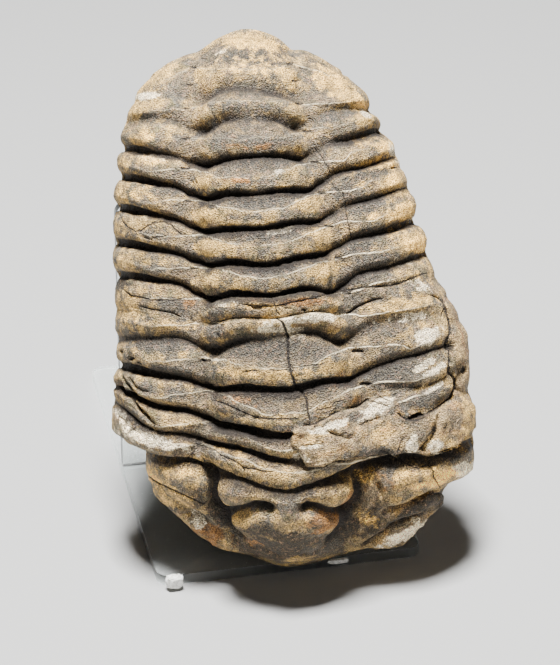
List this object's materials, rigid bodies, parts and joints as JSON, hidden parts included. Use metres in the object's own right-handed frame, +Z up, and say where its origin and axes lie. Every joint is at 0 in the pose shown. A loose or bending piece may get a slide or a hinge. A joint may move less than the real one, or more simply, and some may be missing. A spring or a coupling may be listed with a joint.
{
  "type": "trilobite fossil",
  "caption": "Whole Neseuretus trilobite in its rock, head down and tail over the top, leaning on a clear L-shaped display stand.",
  "frame": {"origin": "middle of the underside of the stand's base plate", "axes": "+Z up, +X to the right along the stand's front edge as seen from the front, +Y from the front edge to the back"},
  "size_m": [0.066, 0.0958, 0.0921],
  "materials": {
    "fossil_stone": "matt, weathered",
    "clear_acrylic": "clear, polished faces and sawn edges",
    "white_putty": "matt, dented"
  },
  "bodies": {
    "root": {"trilobite": "fossil_stone", "stand_base": "clear_acrylic", "stand_upright": "clear_acrylic", "putty_dab": "white_putty", "putty_crumb": "white_putty"}
  },
  "joints": []
}
